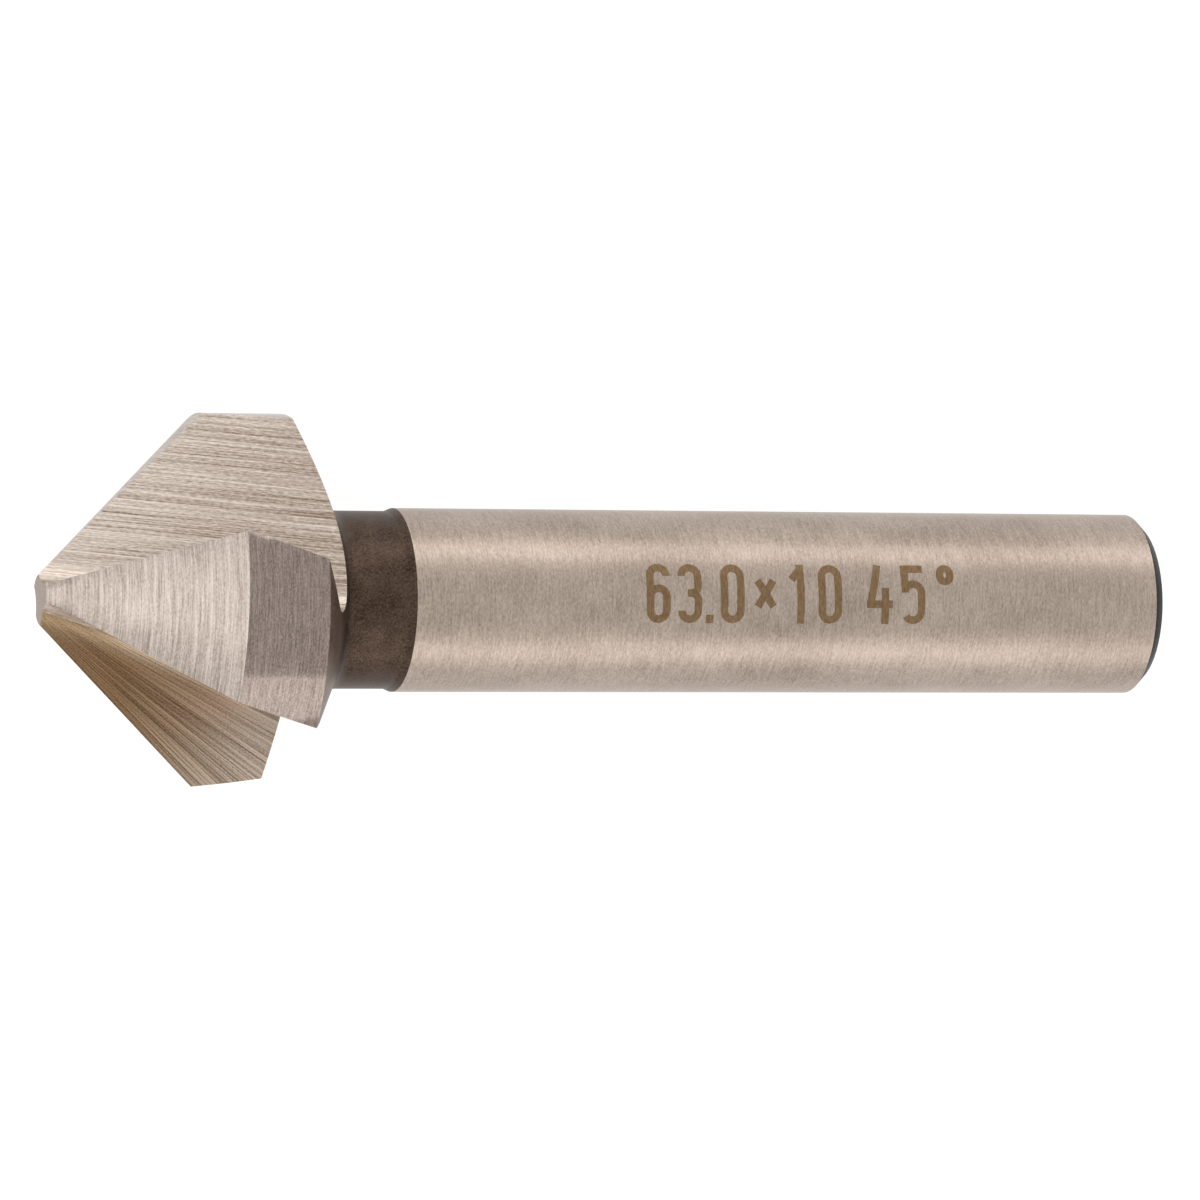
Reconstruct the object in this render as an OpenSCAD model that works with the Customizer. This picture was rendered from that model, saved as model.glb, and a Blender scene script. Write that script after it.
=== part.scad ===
// Countersink bit with three relieved teeth and a plain round shank, one solid of tool steel.
// Sizes in millimetres. The bit is drawn standing on its tip along Z and then laid down:
// it rests on two corners of the head and on the rear rim of the shank, tip towards -X.

/* [Shank] */
// overall length of the bit from the flat tip to the rear face
bit_len = 63; // [50:0.5:80]
// diameter of the clamped shank
shank_d = 10; // [6:0.1:13]
// where the full shank diameter begins, measured from the tip
shank_start = 19.6; // [18:0.1:26]
// size of the 45 degree chamfer on the rear rim
rear_chamfer = 0.6; // [0.2:0.05:1.2]

/* [Neck] */
// how much thinner in diameter the neck is than the shank
neck_step = 0.34; // [0.1:0.02:1.5]
// length of the short ramp from the neck up to the shank
neck_ramp = 0.4; // [0.2:0.05:1.5]
// radius between the neck and the rear of the head
neck_fillet = 0.9; // [0.3:0.05:1.5]

/* [Head] */
// diameter over the cutting edges
head_d = 20.6; // [15:0.1:26]
// diameter of the flat at the tip
tip_d = 2.9; // [2:0.1:4.5]
// angle included by the cutting cone
point_angle = 90; // [60:1:120]
// length of the straight land behind the cone
land_len = 4.33; // [3:0.05:6]
// angle between the rear slope of the head and the axis
rear_slope = 64.4; // [50:0.1:75]

/* [Relief] */
// sideways shift of the cone behind each cutting edge
cone_relief = 0.2; // [0.05:0.01:0.5]
// sideways shift of the land behind each cutting edge
land_relief = 0.31; // [0.05:0.01:0.6]
// direction of that shift, measured from the cutting edge
relief_turn = -61.5; // [-80:0.5:-40]

/* [Flutes] */
// number of teeth, one flute ahead of each
teeth = 3; // [3:1:3]
// angle included between the two walls of a flute
flute_angle = 62.6; // [50:0.1:80]
// radius along the root of a flute
flute_root = 1.4; // [0.4:0.05:2]
// angle between the root of a flute and the axis of the bit
flute_climb = 22.14; // [18:0.1:26]
// direction in which the root climbs, measured from the cutting edge
flute_heading = 34.5; // [20:0.5:50]
// turn of the flute about its own root
flute_roll = -84.8; // [-100:0.1:-70]
// distance at the tip from the axis to the sharp corner of the flute
flute_offset = 0.37; // [0:0.01:0.8]
// direction of that distance, measured from the cutting edge
flute_offset_turn = 135.7; // [100:0.1:170]

/* [Rest] */
// turn of the bit about its axis so that two head corners touch the floor together
rest_roll = 57.75; // [50:0.05:65]

/* [Hidden] */
$fn = 96;
head_r = head_d / 2;
tip_r = tip_d / 2;
shank_r = shank_d / 2;
neck_r = shank_r - neck_step / 2;
cone_len = (head_r - tip_r) / tan(point_angle / 2);
land_end = cone_len + land_len;
slope_len = (head_r - neck_r) / tan(rear_slope);
head_len = land_end + slope_len;
pitch = 360 / teeth;
half_v = flute_angle / 2;
far = head_d * 1.6;
spare = 0.15;
edge_share = cos(relief_turn);
land_r = head_r - land_relief * edge_share;
rest_reach = head_r * cos(2 * pitch + rest_roll - 270);
rest_tilt = atan((rest_reach - shank_r) / (bit_len - rear_chamfer - cone_len));
rest_lift = shank_r * cos(rest_tilt) + (bit_len - rear_chamfer) * sin(rest_tilt);
rest_mid_x = (bit_len * cos(rest_tilt) + (shank_r - rear_chamfer - tip_r) * sin(rest_tilt)) / 2;
rest_mid_y = (land_r + land_relief * cos(relief_turn + 2 * pitch + rest_roll)
    + head_r * cos(pitch + rest_roll)) / 2;

// the turned blank: head a little oversize, rear slope, fillet, neck, ramp, shank, chamfer
module blank() {
    slope_c = cos(rear_slope);
    slope_s = sin(rear_slope);
    fil_r = neck_r + neck_fillet;
    fil_z = land_end + (neck_fillet - (fil_r - head_r) * slope_c) / slope_s;
    touch_r = fil_r - neck_fillet * slope_c;
    touch_z = fil_z - neck_fillet * slope_s;
    rotate_extrude()
        difference() {
            polygon([[0, 0],
                [tip_r + spare, 0],
                [head_r + spare, cone_len],
                [head_r + spare, land_end - spare / tan(rear_slope)],
                [touch_r, touch_z],
                [fil_r, fil_z],
                [neck_r, fil_z],
                [neck_r, shank_start - neck_ramp],
                [shank_r, shank_start],
                [shank_r, bit_len - rear_chamfer],
                [shank_r - rear_chamfer, bit_len],
                [0, bit_len]]);
            translate([fil_r, fil_z]) circle(r = neck_fillet);
        }
}

// what the relief grinding takes off one tooth: all that lies outside a cone and a land
// that are both shifted sideways, so they fall away behind the cutting edge at angle 0
module relief_cut() {
    cone_r = tip_r - cone_relief * edge_share;
    rise = tan(point_angle / 2);
    difference() {
        rotate([0, 0, pitch / 4]) translate([0, 0, -0.5])
            linear_extrude(height = land_end + 1)
                polygon([[0, 0],
                    [far * cos(55), -far * sin(55)],
                    [far, 0],
                    [far * cos(55), far * sin(55)]]);
        intersection() {
            rotate([0, 0, relief_turn]) translate([cone_relief, 0, -1])
                cylinder(h = head_len + 2, r1 = cone_r - rise, r2 = cone_r + (head_len + 1) * rise);
            rotate([0, 0, relief_turn]) translate([land_relief, 0, -2])
                cylinder(h = head_len + 4, r = land_r);
        }
    }
}

// the groove ahead of a cutting edge: two flat walls and a round root, climbing to the rear
module flute() {
    root_x = flute_root / sin(half_v);
    touch_x = root_x - flute_root * sin(half_v);
    touch_y = flute_root * cos(half_v);
    rotate([0, 0, flute_offset_turn]) translate([flute_offset, 0, 0])
        rotate([0, 0, flute_heading - flute_offset_turn])
            rotate([0, flute_climb, 0])
                rotate([0, 0, flute_roll])
                    translate([0, 0, -far / 2])
                        linear_extrude(height = far * 1.5)
                            union() {
                                translate([root_x, 0]) circle(r = flute_root);
                                polygon([[root_x, 0],
                                    [touch_x, touch_y],
                                    [touch_x + far * cos(half_v), touch_y + far * sin(half_v)],
                                    [touch_x + far * cos(half_v), -touch_y - far * sin(half_v)],
                                    [touch_x, -touch_y]]);
                            }
}

module bit() {
    difference() {
        blank();
        for (i = [0 : teeth - 1]) {
            rotate([0, 0, i * pitch]) flute();
            rotate([0, 0, i * pitch]) relief_cut();
        }
    }
}

module countersink() {
    color([0.62, 0.58, 0.55])
        translate([-rest_mid_x, -rest_mid_y, rest_lift])
            rotate([0, rest_tilt, 0])
                rotate([rest_roll, 0, 0])
                    rotate([90, 0, 90])
                        bit();
}

countersink();
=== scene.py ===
import math

import bmesh
import bpy
from mathutils import Matrix, Vector


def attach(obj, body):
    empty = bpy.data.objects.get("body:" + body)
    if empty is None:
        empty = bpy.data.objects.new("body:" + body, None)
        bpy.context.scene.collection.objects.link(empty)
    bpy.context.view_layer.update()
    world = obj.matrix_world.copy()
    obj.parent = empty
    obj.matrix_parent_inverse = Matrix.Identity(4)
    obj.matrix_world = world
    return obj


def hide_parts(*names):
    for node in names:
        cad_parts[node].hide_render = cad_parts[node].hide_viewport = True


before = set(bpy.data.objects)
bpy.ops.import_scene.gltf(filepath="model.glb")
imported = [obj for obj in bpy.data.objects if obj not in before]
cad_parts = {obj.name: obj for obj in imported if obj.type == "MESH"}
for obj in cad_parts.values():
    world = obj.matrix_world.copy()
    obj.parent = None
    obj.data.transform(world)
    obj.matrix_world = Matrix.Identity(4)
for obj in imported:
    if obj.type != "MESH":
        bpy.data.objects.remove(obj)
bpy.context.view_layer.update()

# The bit: one bar of tool steel, turned, hardened and then ground. The steel of the packed
# part is copied and merged, its sharp edges get the tiny break that a wheel leaves, and each
# ground or scaled surface gets its own finish.

# sizes along and around the bit's own axis, in millimetres and degrees, from zero at the tip
MM = 0.001
bit_len, rear_chamfer = 63.0, 0.6
shank_start, shank_r = 19.6, 5.0
neck_start = 15.0
head_r, tip_r = 10.3, 1.45
cone_len = head_r - tip_r
teeth = 3
tooth_pitch = 360 / teeth
land_relief, relief_turn = 0.31, -61.5
edge_break = 0.035


def cosine(degrees):
    return math.cos(math.radians(degrees))


def turned(degrees, axis):
    return Matrix.Rotation(math.radians(degrees), 4, axis)


# how the bit lies: on two corners of the head and on the rear rim of the shank
rest_roll = 57.75
rest_reach = head_r * cosine(2 * tooth_pitch + rest_roll - 270)
rest_tilt = math.atan((rest_reach - shank_r) / (bit_len - rear_chamfer - cone_len))
rest_lift = shank_r * math.cos(rest_tilt) + (bit_len - rear_chamfer) * math.sin(rest_tilt)
rest_middle_x = (bit_len * math.cos(rest_tilt)
                 + (shank_r - rear_chamfer - tip_r) * math.sin(rest_tilt)) / 2
land_r = head_r - land_relief * cosine(relief_turn)
rest_middle_y = (land_r + land_relief * cosine(relief_turn + 2 * tooth_pitch + rest_roll)
                 + head_r * cosine(tooth_pitch + rest_roll)) / 2
lie = (Matrix.Translation(Vector((-rest_middle_x, -rest_middle_y, rest_lift)) * MM)
       @ turned(math.degrees(rest_tilt), "Y") @ turned(rest_roll, "X")
       @ turned(90, "Z") @ turned(90, "X") @ Matrix.Scale(MM, 4))
stand = lie.inverted()

# a flute is a V with a round root, and in its own frame the root runs along Z, the V opens
# towards +X, the rake wall is on the +Y side and the heel wall on the -Y side
flute_half_angle = math.radians(31.3)
flute_root_r = 1.4
flute_offset, flute_offset_turn = 0.37, 135.7
flute_heading, flute_climb, flute_roll = 34.5, 22.14, -84.8
root_x = flute_root_r / math.sin(flute_half_angle)
wall_start = root_x - flute_root_r * math.sin(flute_half_angle)
wall_start_away = wall_start / math.cos(flute_half_angle)
root_arc = flute_root_r * (math.pi / 2 - flute_half_angle)
into_flute = [(lie @ turned(tooth * tooth_pitch, "Z") @ turned(flute_offset_turn, "Z")
               @ Matrix.Translation((flute_offset, 0, 0))
               @ turned(flute_heading - flute_offset_turn, "Z")
               @ turned(flute_climb, "Y") @ turned(flute_roll, "Z")).inverted()
              for tooth in range(teeth)]

bar = bmesh.new()
bar.from_mesh(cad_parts["countersink"].data)
bmesh.ops.remove_doubles(bar, verts=bar.verts, dist=0.002 * MM)
bmesh.ops.dissolve_limit(bar, angle_limit=math.radians(0.4), verts=bar.verts, edges=bar.edges)

# each face is told which tool made it, and on a flute where it is along and up the wall
CONE, LAND, HEEL_WALL, RAKE_WALL, SCALE, SHANK, TIP = range(7)
grain = bar.loops.layers.uv.new("grain")
flute_apart = 40.0


def ground_by(face):
    """The flute that made a face, which side of it and whether in its root, or None."""
    for tooth, into in enumerate(into_flute):
        spots = [into @ v.co for v in face.verts]
        side = RAKE_WALL if (into @ face.calc_center_median()).y > 0 else HEEL_WALL
        off_wall = max(abs(abs(p.y) * math.cos(flute_half_angle) - p.x * math.sin(flute_half_angle))
                       for p in spots)
        off_root = max(abs(math.hypot(p.x - root_x, p.y) - flute_root_r) for p in spots)
        if off_wall < 0.012 and min(p.x for p in spots) > wall_start - 0.03:
            return tooth, side, False
        if off_root < 0.03 and max(p.x for p in spots) < wall_start + 0.03:
            return tooth, side, True
    return None


for face in bar.faces:
    middle = stand @ face.calc_center_median()
    facing = (stand.to_3x3() @ face.normal).normalized()
    flute = ground_by(face)
    if middle.z < 0.01:
        face.material_index = TIP
    elif flute:
        tooth, face.material_index, in_root = flute
        for loop in face.loops:
            spot = into_flute[tooth] @ loop.vert.co
            away = math.hypot(spot.x, spot.y)
            if in_root:
                round_root = abs(math.atan2(spot.y, root_x - spot.x)) * flute_root_r
                away = wall_start_away - root_arc + round_root
            loop[grain].uv = (spot.z + flute_apart * tooth, away)
    elif middle.z > bit_len - rear_chamfer or neck_start < middle.z < shank_start or facing.z > 0.1:
        face.material_index = SCALE
    elif middle.z > shank_start:
        face.material_index = SHANK
    else:
        face.material_index = CONE if facing.z < -0.4 else LAND

keen = [edge for edge in bar.edges if len(edge.link_faces) == 2
        and edge.calc_face_angle() > math.radians(14)]
bmesh.ops.bevel(bar, geom=keen, affect="EDGES", offset_type="OFFSET", offset=edge_break * MM,
                segments=2, profile=0.5, material=-1, clamp_overlap=True)
bmesh.ops.recalc_face_normals(bar, faces=bar.faces)


def put_in_scene(name, data):
    """A new object that holds a mesh, a lamp or a camera, linked to the scene."""
    thing = bpy.data.objects.new(name, data)
    bpy.context.scene.collection.objects.link(thing)
    return thing


def finish_mesh(name, shape):
    """The object that a bmesh becomes. The bmesh is freed."""
    mesh = bpy.data.meshes.new(name)
    shape.to_mesh(mesh)
    shape.free()
    return put_in_scene(name, mesh)


bit = finish_mesh("bit_steel", bar)
bit.data.polygons.foreach_set("use_smooth", [True] * len(bit.data.polygons))
bit.data.set_sharp_from_angle(angle=math.radians(50))
even_light = bit.modifiers.new("flat_walls_stay_flat", "WEIGHTED_NORMAL")
even_light.keep_sharp = True
even_light.weight = 100


class Tone:
    """A socket in a material's nodes. Sums, differences and products add their own nodes."""

    def __init__(self, tree, socket=None):
        self.tree, self.socket = tree, socket

    def node(self, kind, settings=None, sockets=None, out=0):
        """A new node: its settings first, then the value or link of each socket."""
        made = self.tree.nodes.new(kind)
        for name, value in (settings or {}).items():
            setattr(made, name, value)
        for name, value in (sockets or {}).items():
            if isinstance(value, Tone):
                self.tree.links.new(value.socket, made.inputs[name])
            else:
                made.inputs[name].default_value = value
        return Tone(self.tree, made.outputs[out])

    def __add__(self, other):
        return self.node("ShaderNodeMath", {"operation": "ADD"}, {0: self, 1: other})

    __radd__ = __add__

    def __mul__(self, other):
        return self.node("ShaderNodeMath", {"operation": "MULTIPLY"}, {0: self, 1: other})

    __rmul__ = __mul__

    def __sub__(self, other):
        return self.node("ShaderNodeMath", {"operation": "SUBTRACT"}, {0: self, 1: other})

    def __rsub__(self, other):
        return self.node("ShaderNodeMath", {"operation": "SUBTRACT"}, {0: other, 1: self})


def steel_colour(red, green, blue):
    """A colour as it is read off a screen, 0 to 255, made ready for the shader."""
    def linear(part):
        part /= 255
        return part / 12.92 if part <= 0.04045 else ((part + 0.055) / 1.055) ** 2.4
    return linear(red), linear(green), linear(blue), 1.0


def blend(share, low, high):
    return share.node("ShaderNodeMix", {"data_type": "RGBA"}, {0: share, 6: low, 7: high}, 2)


def at_least_zero(tone):
    return tone.node("ShaderNodeMath", {"operation": "MAXIMUM"}, {0: tone, 1: 0.0})


def one_axis(at, name):
    return at.node("ShaderNodeSeparateXYZ", None, {0: at}, name)


def marks(at, each_mm, detail=2.0, seed=0.0):
    """Marks left by a wheel or a turning tool: noise with so many marks to a millimetre."""
    moved = at.node("ShaderNodeVectorMath", {"operation": "MULTIPLY_ADD"},
                    {0: at, 1: each_mm, 2: (seed, seed, seed)})
    return at.node("ShaderNodeTexNoise", {"noise_dimensions": "3D"},
                   {"Vector": moved, "Scale": 1.0, "Detail": detail, "Roughness": 0.6}, "Fac")


def layered(*layers, middle=0.5):
    """A share round the middle, which each layer of marks swings by its own weight."""
    share = middle
    for layer, weight in layers:
        share = (layer - 0.5) * weight + share
    return share


def start_finish(name):
    material = bpy.data.materials.new(name)
    material.use_nodes = True
    material.node_tree.nodes.clear()
    return material, Tone(material.node_tree)


def on_axis(start):
    """Where a point is along and around the bit's own axis, in millimetres."""
    place, turn, size = lie.decompose()
    seen = start.node("ShaderNodeTexCoord", out="Object")
    return start.node("ShaderNodeMapping", {"vector_type": "TEXTURE"},
                      {"Vector": seen, "Location": place, "Rotation": turn.to_euler(),
                       "Scale": size})


def on_wall(start):
    """Where a point of a flute is, in millimetres: as one vector, along it and up its wall."""
    at = start.node("ShaderNodeUVMap", {"uv_map": "grain"}, out="UV")
    along = start.node("ShaderNodeMath", {"operation": "WRAP"},
                       {0: one_axis(at, "X"), 1: flute_apart - 10.0, 2: -10.0})
    return at, along, one_axis(at, "Y")


def put_out(start, kind, shader):
    start.tree.links.new(shader.socket, start.tree.nodes.new(kind).inputs["Surface"])


def seal_finish(start, colour, roughness, height, depth_mm, metallic=0.75):
    """The steel itself, under its colour, its roughness and its fine relief."""
    bump = start.node("ShaderNodeBump", None,
                      {"Strength": 1.0, "Distance": depth_mm * MM, "Height": height}, "Normal")
    skin = start.node("ShaderNodeBsdfPrincipled", None,
                      {"Base Color": colour, "Roughness": roughness, "Metallic": metallic,
                       "Normal": bump}, "BSDF")
    put_out(start, "ShaderNodeOutputMaterial", skin)


# cone: ground round the axis, pale and warm, with sharp marks round the cone
cone_finish, start = start_finish("ground_cone")
at = on_axis(start)
ring = marks(at, (0.12, 0.12, 7.0), 1.5)
fine = marks(at, (0.6, 0.6, 17.0), 2.0, 7.0)
grit = marks(at, (6.0, 6.0, 16.0), 2.0, 11.0)
cloud = marks(at, (0.5, 0.5, 0.5), 2.0, 3.0)
share = layered((ring, 1.1), (fine, 1.6), (grit, 1.3), (cloud, 0.5))
seal_finish(start, blend(share, steel_colour(142, 129, 118), steel_colour(212, 199, 189)),
            share * 0.12 + 0.3, ring + fine, 0.003)

# land: ground round the axis too, a shade darker and smoother
land_finish, start = start_finish("ground_land")
at = on_axis(start)
ring = marks(at, (0.2, 0.2, 8.0), 3.0)
fine = marks(at, (1.0, 1.0, 18.0), 2.0, 7.0)
grit = marks(at, (7.0, 7.0, 14.0), 2.0, 11.0)
share = layered((ring, 1.0), (fine, 1.8), (grit, 1.8))
seal_finish(start, blend(share, steel_colour(110, 97, 89), steel_colour(164, 149, 140)),
            share * 0.08 + 0.13, ring, 0.0003)

# heel wall of each flute: long straight lines from the wheel, a shade darker to the rear,
# and browner in the root close to the tip
heel_finish, start = start_finish("ground_heel_wall")
at, along, away = on_wall(start)
bands = marks(at, (0.02, 1.6, 1.0), 2.0, 3.0)
long_lines = marks(at, (0.035, 8.0, 1.0), 1.5)
short_lines = marks(at, (0.16, 17.0, 1.0), 2.0, 5.0)
grit = marks(at, (3.0, 11.0, 1.0), 2.0, 9.0)
share = layered((bands, 0.8), (long_lines, 1.3), (short_lines, 1.8), (grit, 1.4),
                middle=(11.0 - along) * 0.02 + 0.52)
pale = blend(share, steel_colour(138, 117, 99), steel_colour(236, 222, 210))
brown = blend(share, steel_colour(92, 72, 52), steel_colour(168, 144, 118))
near_tip = (5.5 - along) * 0.5 * at_least_zero(1.25 - away)
seal_finish(start, blend(near_tip, pale, brown), share * 0.12 + 0.3,
            long_lines + short_lines, 0.004)

# rake wall under each cutting edge: browner, greyer away from the tip, paler in the root with a
# painted highlight for the light its round root catches, and its lines fan out from a point near
# the tip
fan_along, fan_away, fan_reach = -1.9, 0.3, 9.0
rake_finish, start = start_finish("ground_rake_wall")
at, along, away = on_wall(start)
ahead, aside = along - fan_along, away - fan_away
around = start.node("ShaderNodeMath", {"operation": "ARCTAN2"}, {0: aside, 1: ahead}) * fan_reach
fan = start.node("ShaderNodeCombineXYZ", None, {"X": ahead, "Y": around})
bands = marks(fan, (0.03, 3.0, 1.0), 2.0, 3.0)
long_lines = marks(fan, (0.04, 11.0, 1.0), 1.5)
short_lines = marks(fan, (0.14, 22.0, 1.0), 2.0, 5.0)
grit = marks(at, (8.0, 11.0, 1.0), 2.0, 9.0)
share = layered((bands, 0.3), (long_lines, 1.8), (short_lines, 2.0), (grit, 1.3))
brown = blend(share, steel_colour(96, 74, 49), steel_colour(174, 148, 116))
grey = blend(share, steel_colour(124, 105, 88), steel_colour(224, 206, 188))
# greyer towards the rear, and paler in the round root, where the paler colour is a painted
# highlight
greyer_rear_and_painted_root_highlight = (ahead - 8.0) * 0.11 + at_least_zero(2.2 - away) * 0.35
seal_finish(start, blend(greyer_rear_and_painted_root_highlight, brown, grey), share * 0.12 + 0.32,
            long_lines + short_lines, 0.004)

# scale: the dark brown skin of hardening, on the neck, nearly black on the rear end, and lighter
# behind the head, where a painted sheen stands in for the glancing light that the rear slope
# catches
scale_finish, start = start_finish("dark_scale")
at = on_axis(start)
speckle = marks(at, (9.0, 9.0, 9.0), 3.0)
patch = marks(at, (0.7, 0.7, 0.7), 3.0, 4.0)
share = layered((speckle, 1.9), (patch, 0.9))
neck_skin = blend(share, steel_colour(40, 29, 23), steel_colour(98, 81, 69))
# painted sheen: a lighter copy of the scale colour for the rear slope behind the head
painted_sheen_skin = blend(share, steel_colour(76, 63, 54), steel_colour(140, 119, 106))
end_skin = blend(share, steel_colour(6, 4, 3), steel_colour(24, 18, 14))
reach = one_axis(at, "Z")
painted_sheen_share = (neck_start + 0.8 - reach) * 1.1
skin = blend(painted_sheen_share, blend(reach - (bit_len - 2.0), neck_skin, end_skin), painted_sheen_skin)
seal_finish(start, skin, share * 0.15 + 0.38, speckle, 0.006, 1.0)

# shank: centreless ground, pale warm grey with hair-fine marks round it
shank_finish, start = start_finish("ground_shank")
at = on_axis(start)
hair = marks(at, (0.8, 0.8, 9.0), 3.0)
fine = marks(at, (5.0, 5.0, 14.0), 2.0, 7.0)
cloud = marks(at, (0.35, 0.35, 0.2), 2.0, 2.0)
share = layered((hair, 1.1), (fine, 1.6), (cloud, 0.8), middle=0.52)
seal_finish(start, blend(share, steel_colour(138, 123, 110), steel_colour(190, 174, 161)),
            share * 0.08 + 0.31, hair, 0.001)

# tip: the small flat that the grinding leaves
tip_finish, start = start_finish("ground_tip")
grit = marks(on_axis(start), (6.0, 6.0, 6.0), 2.0)
seal_finish(start, blend(layered((grit, 1.7)), steel_colour(116, 99, 89),
                         steel_colour(178, 158, 146)),
            grit * 0.1 + 0.32, grit, 0.003)

for finish in (cone_finish, land_finish, heel_finish, rake_finish, scale_finish,
               shank_finish, tip_finish):
    bit.data.materials.append(finish)

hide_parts("countersink")
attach(bit, "root")

# The mark on the shank: plain figures that a laser has browned into the steel, for the length and
# the shank diameter in millimetres and half the angle of the cone. They are drawn in strokes as
# wide as the beam's line and wrapped round the shank, a hundredth of a millimetre proud of it.

mark_turn = 15.25
mark_proud = 0.012
line_width = 0.42
figure_high, figure_wide = 3.28, 1.36
high, wide = (figure_high - line_width) / 2, (figure_wide - line_width) / 2
edge_high = figure_high / 2
straight_side = 2 * (high - wide)
stroke_steps = 8
figures = bmesh.new()


def corners_of(nib):
    return [part for part in nib if isinstance(part, bmesh.types.BMVert)]


def draw(x, y, heading, *moves):
    """Drags the nib from a place: (length, 0) is straight, (radius, degrees) is a bend."""
    heading = math.radians(heading)
    left = Vector((-math.sin(heading), math.cos(heading), 0))
    ends = [figures.verts.new(Vector((x, y, 0)) + left * side)
            for side in (line_width / 2, -line_width / 2)]
    nib = ends + [figures.edges.new(ends)]
    for length, bend in moves:
        place = sum((corner.co for corner in corners_of(nib)), Vector()) / 2
        left = Vector((-math.sin(heading), math.cos(heading), 0))
        bend = math.radians(bend)
        if bend:
            move = {"cent": place + left * math.copysign(length, bend), "angle": bend}
        else:
            step = Vector((math.cos(heading), math.sin(heading), 0)) * length / stroke_steps
            move = {"cent": place, "angle": 0, "dvec": step}
        drawn = bmesh.ops.spin(figures, geom=nib, axis=(0, 0, 1), steps=stroke_steps, **move)
        heading += bend
        nib = drawn["geom_last"]


def nought(x):
    draw(x - wide, wide - high, 90, (straight_side, 0), (wide, -180), (straight_side, 0),
         (wide, -180))


def one(x):
    draw(x + 0.1, edge_high, -90, (figure_high, 0))
    draw(x - 0.42, 0.78, 48, (0.72, 0))


def three(x):
    for up in (1, -1):
        draw(x - wide, up * (high - wide), up * 90, (wide, -up * 180), (high - wide - 0.4, 0),
             (0.4, -up * 90), (0.2, 0))


def four(x):
    bar_y, lean = -0.55, 0.5
    fall = edge_high - bar_y
    draw(x - 0.02, edge_high, -90 - math.degrees(math.atan2(lean, fall)),
         (math.hypot(lean, fall), 0))
    draw(x - wide - 0.24, bar_y, 0, (2 * wide + 0.55, 0))
    draw(x + 0.36, 0.35, -90, (0.35 + edge_high, 0))


def five(x):
    draw(x + wide + 0.12, high, 180, (2 * wide + 0.12, 0))
    draw(x - wide, edge_high, -90, (high, 0))
    draw(x - wide, 0.1, 90, (wide, -180), (high - wide + 0.1, 0), (wide, -150))


def six(x):
    bowl_side = 0.75
    draw(x - wide, wide - high, 90, (bowl_side, 0), (wide, -180), (bowl_side, 0), (wide, -180))
    draw(x - wide, wide - high + bowl_side, 90, (straight_side - bowl_side, 0), (wide, -180))


def degree(x):
    draw(x - 0.3, high - 0.4, 90, (0.15, 0), (0.3, -180), (0.15, 0), (0.3, -180))


def point(x):
    draw(x, -edge_high, 90, (line_width * 1.1, 0))


def times(x):
    stroke = 1.7
    for turn in (58, 122):
        draw(x - cosine(turn) * stroke / 2, -cosine(90 - turn) * stroke / 2, turn, (stroke, 0))


for figure, middle in ((six, 33.25), (three, 35.05), (point, 36.2), (nought, 37.5),
                       (times, 39.4), (one, 41.35), (nought, 43.15),
                       (four, 46.0), (five, 48.0), (degree, 49.9)):
    figure(middle)

bmesh.ops.remove_doubles(figures, verts=figures.verts, dist=1e-4)
raised = bmesh.ops.extrude_face_region(figures, geom=figures.faces[:])
bmesh.ops.translate(figures, vec=(0, 0, mark_proud * 2), verts=corners_of(raised["geom"]))
for v in figures.verts:
    turn = math.radians(mark_turn) - v.co.y / shank_r
    reach = shank_r - mark_proud + v.co.z
    v.co = lie @ Vector((reach * math.cos(turn), reach * math.sin(turn), v.co.x))
bmesh.ops.recalc_face_normals(figures, faces=figures.faces)
mark = finish_mesh("shank_figures", figures)

mark_finish, start = start_finish("laser_brown")
burn = marks(on_axis(start), (3.0, 3.0, 9.0), 3.0)
seal_finish(start, blend(layered((burn, 2.2)), steel_colour(106, 82, 54),
                         steel_colour(142, 116, 86)),
            burn * 0.1 + 0.42, burn, 0.003)
mark.data.materials.append(mark_finish)
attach(mark, "root")

# The table under the bit: a plain pale floor, white where the camera or a mirror looks at it,
# so that the bit stands on white and still throws its soft shadow.

floor_half = 3.0


def looked_at(start):
    """One where the camera looks straight at a surface, or through a mirror or glass."""
    camera, mirror, glass = (start.node("ShaderNodeLightPath", out=f"Is {ray} Ray")
                             for ray in ("Camera", "Glossy", "Transmission"))
    return camera + mirror + glass


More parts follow.
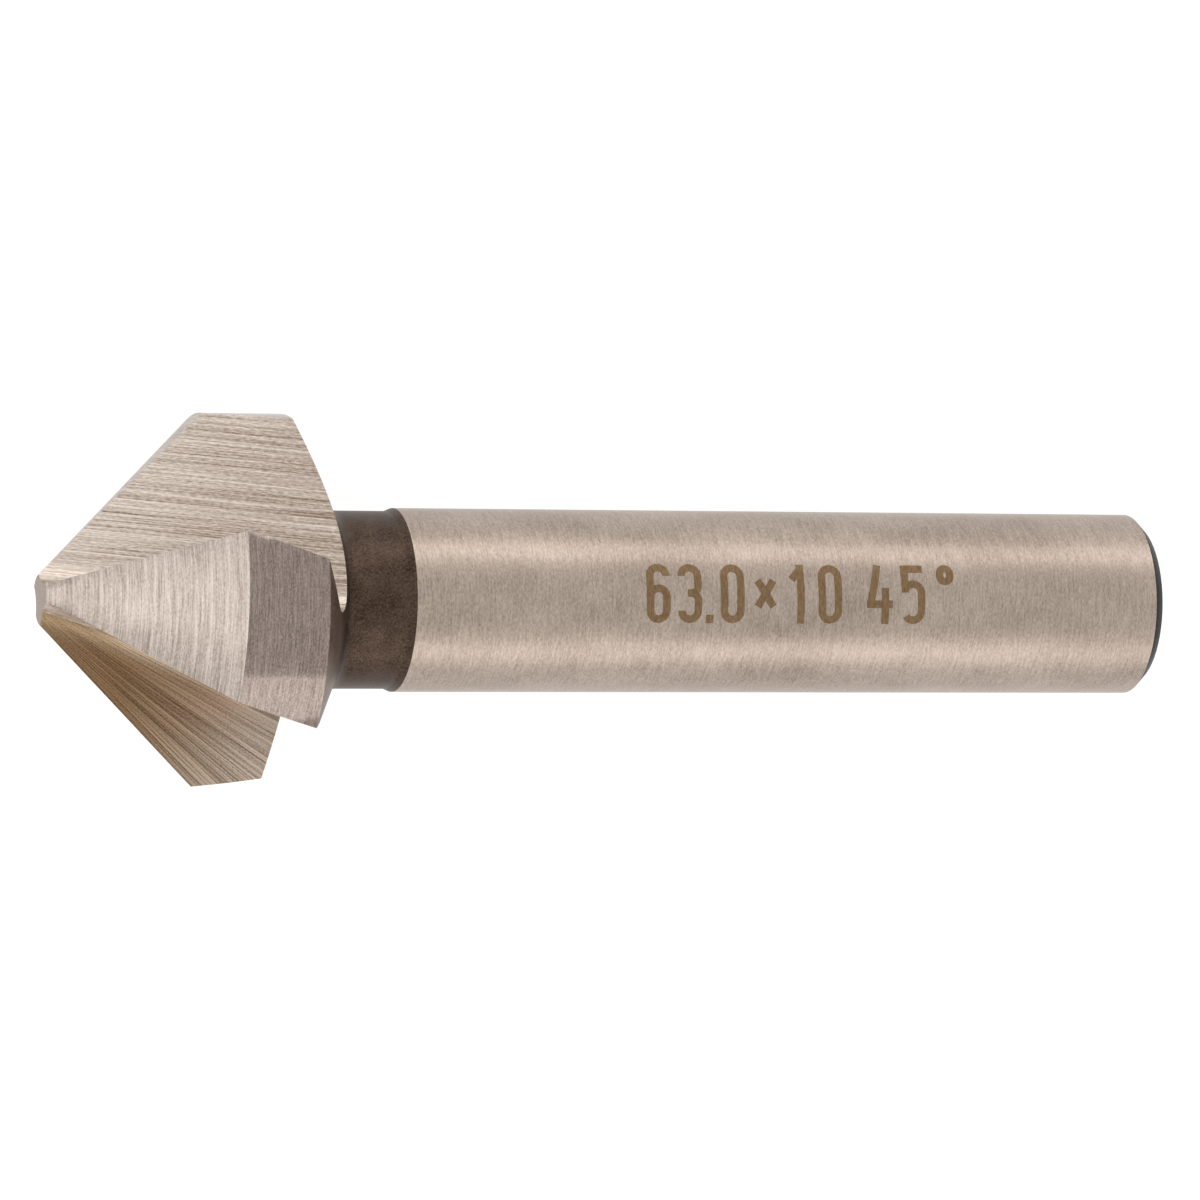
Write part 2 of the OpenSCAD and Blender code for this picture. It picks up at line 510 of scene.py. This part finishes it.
sheet = bmesh.new()
bmesh.ops.create_grid(sheet, x_segments=1, y_segments=1, size=floor_half)
floor = finish_mesh("floor", sheet)
floor_paint, start = start_finish("pale_floor")
seen = looked_at(start)
put_out(start, "ShaderNodeOutputMaterial",
        start.node("ShaderNodeBsdfPrincipled", None,
                   {"Base Color": 0.8 - seen * 0.5, "Roughness": 1.0, "Specular IOR Level": 0.0,
                    "Emission Color": seen * 0.88, "Emission Strength": 1.0}, "BSDF"))
floor.data.materials.append(floor_paint)

# The light: a surround that is white to the camera and in the steel, soft on all else, one
# soft box on each long side of the bit, and a weaker one off the tip.

world = bpy.data.worlds.new("surround")
bpy.context.scene.world = world
world.use_nodes = True
world.node_tree.nodes.clear()
start = Tone(world.node_tree)
soft, white = (start.node("ShaderNodeBackground", None, {"Color": (1, 1, 1, 1), "Strength": power})
               for power in (0.6, 1.0))
put_out(start, "ShaderNodeOutputWorld",
        start.node("ShaderNodeMixShader", None, {0: looked_at(start), 1: soft, 2: white}))


def soft_box(name, place, width, height, power):
    """A rectangular lamp that faces the middle of the bit."""
    light = bpy.data.lights.new(name, "AREA")
    light.shape = "RECTANGLE"
    light.size, light.size_y, light.energy = width, height, power
    to_bit = (-Vector(place)).to_track_quat("-Z", "Y").to_matrix().to_4x4()
    put_in_scene(name, light).matrix_world = Matrix.Translation(place) @ to_bit


soft_box("box_behind", (0.12, 0.598, 0.135), 0.62, 0.27, 0.76)
soft_box("box_in_front", (0.13, -0.504, 0.324), 0.62, 0.33, 0.74)
soft_box("box_off_the_tip", (-0.62, 0.0, 0.24), 0.5, 0.3, 0.5)

# The camera: a long lens above the bit, a little ahead of its tip and to one side, which sees it
# at the photograph's angle.

view = bpy.data.cameras.new("view")
view.sensor_width = 36.0
view.lens = 222.405
view.clip_start = 0.01
eye = put_in_scene("view", view)
eye.location = (-0.09760312, 0.07877003, 0.39391072)
eye.rotation_euler = [math.radians(turn) for turn in (-12.1115902, -13.3468452, 4.0558413)]
bpy.context.scene.camera = eye
bpy.context.scene.view_settings.view_transform = "Standard"
